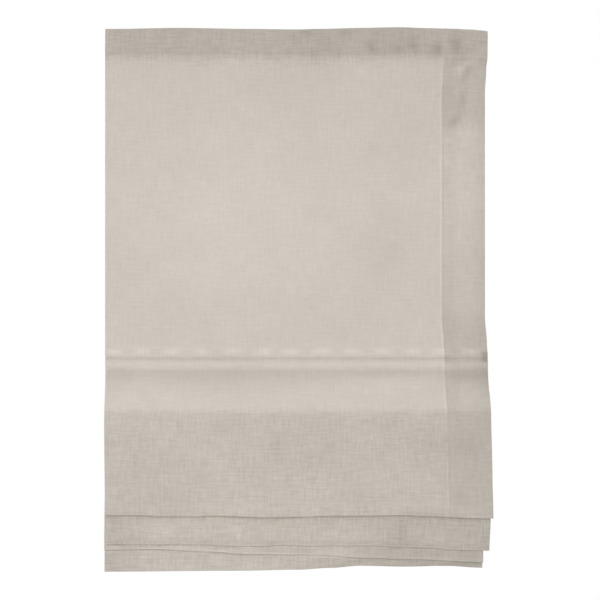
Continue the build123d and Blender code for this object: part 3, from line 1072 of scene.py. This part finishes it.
aluminium, tree, shader, place = start_material("mill_aluminium", aluminium_roughness)
shader.inputs["Metallic"].default_value = 1.0
lines = marks(tree, place, drawn_lines)
feed(tree, shader.inputs["Base Color"], two_tone(tree, lines, aluminium_dark, aluminium_pale))
emboss(tree, shader, lines, drawn_relief)

for name, finish, slot in (
    ("weight_bar", aluminium, "aluminium"), ("bar_cap_left", tip_plastic, "plastic_cap"),
    ("bar_cap_right", tip_plastic, "plastic_cap"),
):
    tilted = bmesh.new()
    tilted.from_mesh(nodes[name].data)
    bmesh.ops.remove_doubles(tilted, verts=tilted.verts, dist=merge_distance)
    (start, low), (end, high) = bar_tilt
    for vert in tilted.verts:
        vert.co.z += low + (high - low) * (vert.co.x - start) / (end - start)
        vert.co.y += bar_press
    piece = bpy.data.objects.new(f"{name}_in_hem", bpy.data.meshes.new(f"{name}_in_hem"))
    tilted.to_mesh(piece.data)
    tilted.free()
    piece.data.materials.append(finish)
    bpy.context.scene.collection.objects.link(piece)
    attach(piece, "root")
    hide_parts(name)


# Studio: a pale floor well below the blind that fades out to a white surround.
# A broad soft lamp in front shapes the folds, one behind lights the window side,
# and two weak ones light the ends.
floor_drop = 0.3
floor_half = 1.4
floor_colour = (0.86, 0.86, 0.86, 1)
floor_roughness = 0.9
fade_from = 0.7
fade_to = 1.35
level_axes = (1, 1, 0)  # the fade goes outwards, not up
white_light = (1, 1, 1, 1)
world_light = 0.42
Lamp = namedtuple("Lamp", "name place size power")
lamps = (
    Lamp("front_lamp", Vector((-0.4, -3.0, 0.6)), 2.0, 60),
    Lamp("back_lamp", Vector((0.6, 2.8, 0.9)), 2.0, 60),
    Lamp("left_lamp", Vector((-2.8, 0.1, 0.5)), 1.5, 22),
    Lamp("right_lamp", Vector((2.8, 0.1, 0.5)), 1.5, 22),
)

floor_mesh = bpy.data.meshes.new("floor")
floor_z = hem_end - floor_drop
floor_sides = ((-1, -1), (1, -1), (1, 1), (-1, 1))
floor_corners = [(x * floor_half, y * floor_half, floor_z) for x, y in floor_sides]
floor_mesh.from_pydata(floor_corners, [], [(0, 1, 2, 3)])
floor = bpy.data.objects.new("floor", floor_mesh)
bpy.context.scene.collection.objects.link(floor)
floor_finish, tree, shader, place = start_material("pale_floor", floor_roughness)
shader.inputs["Base Color"].default_value = floor_colour
level = add(tree, "ShaderNodeVectorMath", {"operation": "MULTIPLY"})
feed(tree, level.inputs[0], place)
level.inputs[1].default_value = level_axes
far = add(tree, "ShaderNodeVectorMath", {"operation": "LENGTH"})
feed(tree, far.inputs[0], level.outputs[0])
fade = add(
    tree, "ShaderNodeMapRange", {"interpolation_type": "SMOOTHSTEP"}, Value=far.outputs["Value"],
    **{"From Min": fade_from, "From Max": fade_to},
)
clear = add(tree, "ShaderNodeBsdfTransparent")
mix = add(tree, "ShaderNodeMixShader", Fac=fade.outputs["Result"])
feed(tree, mix.inputs[1], shader.outputs[0])
feed(tree, mix.inputs[2], clear.outputs[0])
feed(tree, tree.nodes["Material Output"].inputs["Surface"], mix.outputs[0])
floor_mesh.materials.append(floor_finish)

world = bpy.data.worlds.new("studio")
world.use_nodes = True
bpy.context.scene.world = world
tree = world.node_tree
soft = tree.nodes["Background"]
soft.inputs["Color"].default_value = white_light
soft.inputs["Strength"].default_value = world_light
white = add(tree, "ShaderNodeBackground", Color=white_light, Strength=1.0)
rays = add(tree, "ShaderNodeLightPath").outputs
seen = calculate(tree, "MAXIMUM", rays["Is Camera Ray"], rays["Is Glossy Ray"])
seen = calculate(tree, "MAXIMUM", seen, rays["Is Transmission Ray"])
mix = add(tree, "ShaderNodeMixShader", Fac=seen)
feed(tree, mix.inputs[1], soft.outputs[0])
feed(tree, mix.inputs[2], white.outputs[0])
feed(tree, tree.nodes["World Output"].inputs["Surface"], mix.outputs[0])

middle = (cad_box[0] + cad_box[1]) / 2
for name, place, size, power in lamps:
    lamp_data = bpy.data.lights.new(name, "AREA")
    lamp_data.shape = "DISK"
    lamp_data.size = size
    lamp_data.energy = power
    lamp = bpy.data.objects.new(name, lamp_data)
    lamp.location = place
    lamp.rotation_euler = (middle - place).to_track_quat("-Z", "Y").to_euler()
    bpy.context.scene.collection.objects.link(lamp)


# Camera: level, square on to the blind and far back, as the photograph was taken.
# The photograph's scale is set by the blind's own width and drop in it.
photo_width = 600
blind_centre_px = 297
blind_top_px = 30.5
metres_per_px = 0.001571
camera_distance = 3.2
sensor_width = 36  # in millimetres, as the lens is

camera_data = bpy.data.cameras.new("camera")
camera_data.sensor_width = sensor_width
camera_data.lens = sensor_width * camera_distance / (photo_width * metres_per_px)
camera = bpy.data.objects.new("camera", camera_data)
camera.location = (
    (photo_width / 2 - blind_centre_px) * metres_per_px,
    panel_y - camera_distance,
    (blind_top_px - photo_width / 2) * metres_per_px,
)
camera.rotation_euler = (math.pi / 2, 0, 0)
bpy.context.scene.collection.objects.link(camera)
bpy.context.scene.camera = camera
bpy.context.scene.view_settings.view_transform = "Standard"
